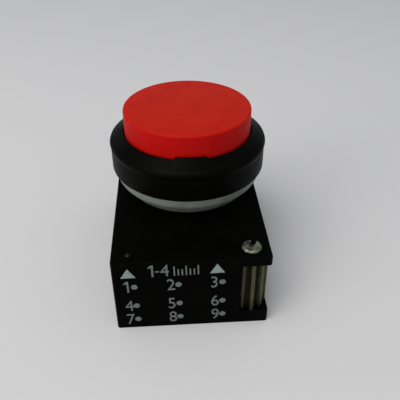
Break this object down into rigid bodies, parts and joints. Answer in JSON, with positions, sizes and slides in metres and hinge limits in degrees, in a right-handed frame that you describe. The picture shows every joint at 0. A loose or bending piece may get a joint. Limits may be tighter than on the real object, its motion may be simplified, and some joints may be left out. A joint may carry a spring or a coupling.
{
  "type": "industrial push button",
  "caption": "Panel push button with a raised round cap, collar and tapered seal on a rectangular contact block with a thumb-nut clamp screw.",
  "frame": {"origin": "foot of the button's axis on the block's base face", "axes": "+Z out of the panel along the button's axis, -Y towards the printed front face, +X to the right"},
  "size_m": [0.0298, 0.04, 0.0314],
  "materials": {
    "cap_red": "fine-grained moulded plastic with a polished rounded edge",
    "collar_black": "satin moulded plastic",
    "block_black": "satin moulded plastic with white print on the front",
    "seal_grey": "matte light grey elastomer",
    "dark_rubber": "matte rubber",
    "pale_plastic": "natural moulded plastic",
    "nut_metal": "zinc-plated, ribbed",
    "screw_metal": "zinc-plated, turned end with a slot",
    "screw_steel": "zinc-plated",
    "spring_steel": "bright drawn wire",
    "contact_copper": "stamped copper alloy",
    "contact_silver": "riveted silver alloy"
  },
  "bodies": {
    "block": {"front_collar": "collar_black", "collar_gasket": "dark_rubber", "barrel": "block_black", "panel_seal": "seal_grey", "retaining_clip": "spring_steel", "housing": "block_black", "base_plate": "block_black", "housing_screws": "screw_steel", "locating_pin": "screw_steel", "contact_frame": "pale_plastic", "closed_fixed_strips": "contact_copper", "open_fixed_strips": "contact_copper", "closed_fixed_tips": "contact_silver", "open_fixed_tips": "contact_silver", "wire_clamps": "screw_steel", "terminal_screws": "screw_steel"},
    "button": {"button_cap": "cap_red", "plunger": "pale_plastic", "plunger_o_ring": "dark_rubber", "return_spring": "spring_steel"},
    "closed_contact": {"closed_carrier": "pale_plastic", "closed_bridge": "contact_copper", "closed_bridge_tips": "contact_silver", "closed_contact_spring": "spring_steel", "closed_return_spring": "spring_steel"},
    "open_contact": {"open_carrier": "pale_plastic", "open_bridge": "contact_copper", "open_bridge_tips": "contact_silver", "open_contact_spring": "spring_steel", "open_return_spring": "spring_steel"},
    "thumb_nut": {"thumb_nut": "nut_metal"},
    "clamp_screw": {"clamp_screw": "screw_metal"}
  },
  "joints": [
    {"name": "button_press", "type": "slide", "parent": "block", "child": "button", "axis": [0, 0, -1], "range_m": [0, 0.004], "stiffness_N_per_m": 900, "springref_m": -0.003, "deforming": ["return_spring"]},
    {"name": "closed_contact_slide", "type": "slide", "parent": "block", "child": "closed_contact", "axis": [0, 0, -1], "range_m": [0, 0.004], "stiffness_N_per_m": 150, "springref_m": -0.002, "deforming": ["closed_return_spring"]},
    {"name": "open_contact_slide", "type": "slide", "parent": "block", "child": "open_contact", "axis": [0, 0, -1], "range_m": [0, 0.004], "stiffness_N_per_m": 150, "springref_m": -0.002, "deforming": ["open_return_spring"]},
    {"name": "thumb_nut_turn", "type": "hinge", "parent": "block", "child": "thumb_nut", "pos_m": [0.00975, -0.0221, 0.0082], "axis": [0, 0, 1], "range_deg": [0, 1800]},
    {"name": "clamp_screw_rise", "type": "slide", "parent": "block", "child": "clamp_screw", "axis": [0, 0, 1], "range_m": [0, 0.003]}
  ],
  "couplings": [
    {"joint": "closed_contact_slide", "follows": "button_press", "ratio": 1},
    {"joint": "open_contact_slide", "follows": "button_press", "ratio": 1},
    {"joint": "thumb_nut_turn", "follows": "clamp_screw_rise", "rad_per_m": 10472}
  ]
}
